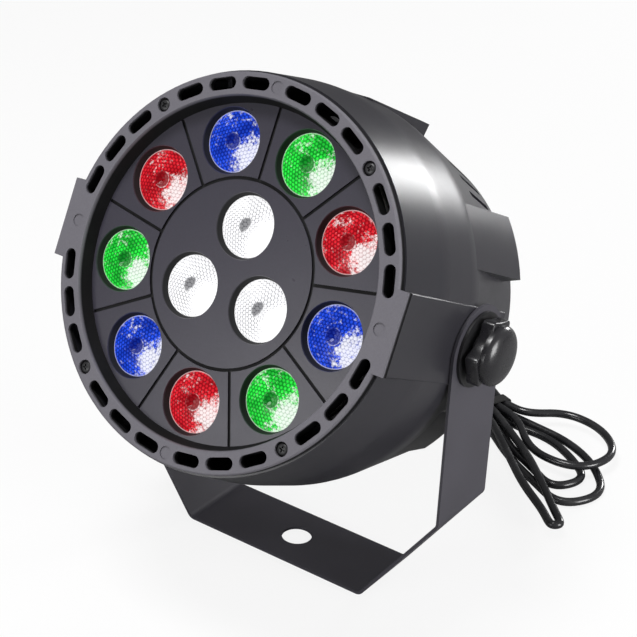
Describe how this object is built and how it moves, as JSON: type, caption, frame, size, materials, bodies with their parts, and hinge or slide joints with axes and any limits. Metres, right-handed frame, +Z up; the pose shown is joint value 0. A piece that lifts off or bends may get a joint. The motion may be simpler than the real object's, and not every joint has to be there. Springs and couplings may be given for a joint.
{
  "type": "par light",
  "caption": "Stage par light: round head with coloured lenses in a slotted front ring, tilting in a U bracket with lobed clamp knobs, and a mains cord tied in a hank.",
  "frame": {"origin": "centre of the hole in the bracket's base, on the underside that rests on the floor", "axes": "+Z up along the light's longest extent, X along the tilt axis between the bracket's arms, the lit face looks towards -Y and up"},
  "size_m": [0.228, 0.3024, 0.2146],
  "materials": {
    "shell_plastic": "fine matt moulding",
    "ring_plastic": "fine matt moulding",
    "panel_plastic": "satin moulding",
    "holder_plastic": "matt moulding",
    "lens_blue": "moulded clear acrylic lit blue",
    "lens_green": "moulded clear acrylic lit green",
    "lens_red": "moulded clear acrylic lit red",
    "lens_white": "moulded clear acrylic lit white",
    "led_resin": "clear resin over phosphor",
    "board_white": "white solder mask on aluminium",
    "board_green": "green solder mask",
    "sink_aluminium": "extruded",
    "transformer_core": "ferrite with taped winding",
    "capacitor_sleeve": "shrink sleeve",
    "chip_plastic": "moulded epoxy",
    "spacer_nylon": "natural nylon",
    "screw_steel": "black zinc",
    "fan_plastic": "matt moulding",
    "window_tint": "dark red tinted acrylic",
    "display_plastic": "moulded",
    "button_plastic": "matt moulding",
    "socket_metal": "nickel plated",
    "contact_gold": "plated",
    "gland_nylon": "black nylon",
    "bracket_paint": "fine textured powder coat",
    "washer_rubber": "black",
    "knob_plastic": "semi-gloss moulding",
    "stud_steel": "zinc plated",
    "insert_brass": "turned",
    "cord_pvc": "glossy sheath",
    "tie_nylon": "nylon strip",
    "plug_pvc": "satin moulding",
    "pin_nickel": "nickel plated brass"
  },
  "bodies": {
    "base": {"bracket": "bracket_paint", "friction_washer_left": "washer_rubber", "friction_washer_right": "washer_rubber", "power_cord": "cord_pvc", "cord_hank": "cord_pvc", "cord_tail": "cord_pvc", "cord_tie": "tie_nylon", "plug_body": "plug_pvc", "plug_pins": "pin_nickel"},
    "head": {"front_ring": "ring_plastic", "ring_screws": "screw_steel", "lens_panel": "panel_plastic", "lens_holders": "holder_plastic", "led_emitters": "led_resin", "led_board": "board_white", "heat_sink": "sink_aluminium", "sink_screws": "screw_steel", "housing": "shell_plastic", "pivot_insert_left": "insert_brass", "pivot_insert_right": "insert_brass", "driver_board": "board_green", "driver_posts": "spacer_nylon", "transformer": "transformer_core", "capacitors": "capacitor_sleeve", "power_transistors": "chip_plastic", "rear_cover": "shell_plastic", "fan_frame": "fan_plastic", "rear_screws": "screw_steel", "display_window": "window_tint", "display_module": "display_plastic", "display_board": "board_green", "display_posts": "spacer_nylon", "tact_switches": "chip_plastic", "signal_socket_in": "socket_metal", "signal_contacts": "contact_gold", "signal_socket_out": "socket_metal", "microphone": "chip_plastic", "cord_gland": "gland_nylon", "gland_nut": "gland_nylon", "lens_blue_1": "lens_blue", "lens_blue_2": "lens_blue", "lens_blue_3": "lens_blue", "lens_green_1": "lens_green", "lens_green_2": "lens_green", "lens_green_3": "lens_green", "lens_red_1": "lens_red", "lens_red_2": "lens_red", "lens_red_3": "lens_red", "lens_white_1": "lens_white", "lens_white_2": "lens_white", "lens_white_3": "lens_white"},
    "knob_left": {"clamp_knob_left": "knob_plastic", "knob_stud_left": "stud_steel"},
    "knob_right": {"clamp_knob_right": "knob_plastic", "knob_stud_right": "stud_steel"},
    "button_menu": {"button_menu": "button_plastic"},
    "button_down": {"button_down": "button_plastic"},
    "button_up": {"button_up": "button_plastic"},
    "button_enter": {"button_enter": "button_plastic"},
    "fan": {"fan_rotor": "fan_plastic"}
  },
  "joints": [
    {"name": "head_tilt", "type": "hinge", "parent": "base", "child": "head", "pos_m": [0, 0, 0.1195], "axis": [-1, 0, 0], "range_deg": [-86, 64], "deforming": ["power_cord"]},
    {"name": "knob_left_turn", "type": "hinge", "parent": "base", "child": "knob_left", "pos_m": [0, 0, 0.1195], "axis": [-1, 0, 0], "continuous": true},
    {"name": "knob_right_turn", "type": "hinge", "parent": "base", "child": "knob_right", "pos_m": [0, 0, 0.1195], "axis": [1, 0, 0], "continuous": true},
    {"name": "menu_press", "type": "slide", "parent": "head", "child": "button_menu", "axis": [0, -0.8988, 0.4384], "range_m": [0, 0.0008], "stiffness_N_per_m": 600},
    {"name": "down_press", "type": "slide", "parent": "head", "child": "button_down", "axis": [0, -0.8988, 0.4384], "range_m": [0, 0.0008], "stiffness_N_per_m": 600},
    {"name": "up_press", "type": "slide", "parent": "head", "child": "button_up", "axis": [0, -0.8988, 0.4384], "range_m": [0, 0.0008], "stiffness_N_per_m": 600},
    {"name": "enter_press", "type": "slide", "parent": "head", "child": "button_enter", "axis": [0, -0.8988, 0.4384], "range_m": [0, 0.0008], "stiffness_N_per_m": 600},
    {"name": "fan_spin", "type": "hinge", "parent": "head", "child": "fan", "pos_m": [0, 0.03523, 0.10232], "axis": [0, -0.8988, 0.4384], "continuous": true}
  ]
}
